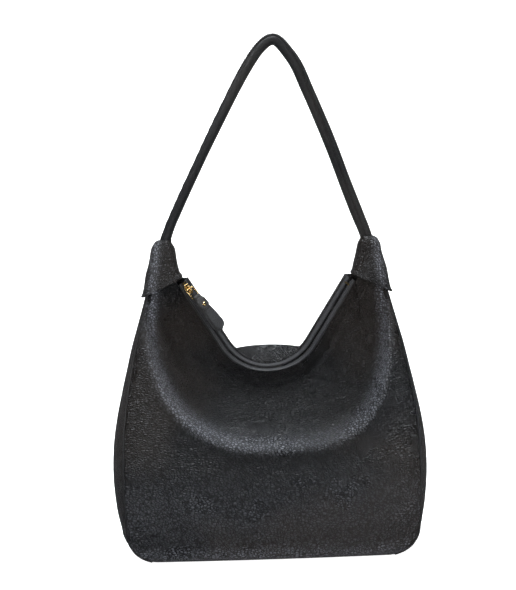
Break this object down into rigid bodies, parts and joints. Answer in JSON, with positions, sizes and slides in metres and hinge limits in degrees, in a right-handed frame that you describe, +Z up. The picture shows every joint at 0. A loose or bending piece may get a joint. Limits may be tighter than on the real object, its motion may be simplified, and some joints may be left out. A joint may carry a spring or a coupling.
{
  "type": "hobo bag",
  "caption": "Slouchy leather shoulder bag with a curved zipped mouth between two horns and one rolled handle that folds down.",
  "frame": {"origin": "middle of the flat base, on the surface that the bag stands on", "axes": "+Z up from the base to the handle, +X along the width to the right as seen from the front, front faces -Y"},
  "size_m": [0.3568, 0.1275, 0.5769],
  "materials": {
    "black_leather": "pebbled black leather with a soft sheen",
    "edge_leather": "turned leather edge and pull, a little lighter and smoother",
    "zip_tape": "woven black zip tape",
    "zip_coil": "black nylon coil, satin",
    "gold_metal": "polished light gold plating",
    "lining_cloth": "plain woven lining",
    "stiff_board": "grey stiffening board",
    "handle_core": "round filler cord inside the handle"
  },
  "bodies": {
    "bag": {"front_panel": "black_leather", "back_panel": "black_leather", "left_gusset": "black_leather", "right_gusset": "black_leather", "base_panel": "black_leather", "front_mouth_edge": "edge_leather", "back_mouth_facing": "black_leather", "left_sleeve": "black_leather", "right_sleeve": "black_leather", "left_handle_end": "black_leather", "right_handle_end": "black_leather", "front_zip_tape": "zip_tape", "rear_zip_tape": "zip_tape", "front_zip_coil": "zip_coil", "rear_zip_coil": "zip_coil", "zip_top_stop": "gold_metal", "zip_end_stop": "gold_metal", "front_lining": "lining_cloth", "back_lining": "lining_cloth", "left_lining": "lining_cloth", "right_lining": "lining_cloth", "base_lining": "lining_cloth", "base_board": "stiff_board", "slip_pocket": "lining_cloth", "pocket_zip_tape": "zip_tape", "pocket_zip_coil": "zip_coil"},
    "handle": {"handle_cover": "black_leather", "handle_core": "handle_core"},
    "zip_slider": {"slider_body": "gold_metal", "slider_bridge": "gold_metal"},
    "zip_puller": {"puller_link": "gold_metal"},
    "pull_tab": {"leather_pull": "edge_leather", "pull_rivet": "gold_metal"},
    "pocket_zip_slider": {"pocket_slider": "gold_metal"}
  },
  "joints": [
    {"name": "handle_fold", "type": "hinge", "parent": "bag", "child": "handle", "pos_m": [0, 0, 0.372], "axis": [1, 0, 0], "range_deg": [-125, 100]},
    {"name": "zip_travel", "type": "slide", "parent": "bag", "child": "zip_slider", "axis": [0.5299, 0, -0.848], "range_m": [0, 0.045]},
    {"name": "puller_flip", "type": "hinge", "parent": "zip_slider", "child": "zip_puller", "pos_m": [-0.08619, -0.0029, 0.2979], "axis": [-0.6302, -0.6691, -0.3938], "range_deg": [0, 100]},
    {"name": "pull_flip", "type": "hinge", "parent": "zip_puller", "child": "pull_tab", "pos_m": [-0.07905, -0.00398, 0.28832], "axis": [-0.6302, -0.6691, -0.3938], "range_deg": [0, 40]},
    {"name": "pocket_zip_travel", "type": "slide", "parent": "bag", "child": "pocket_zip_slider", "axis": [1, 0, 0], "range_m": [0, 0.14]}
  ]
}
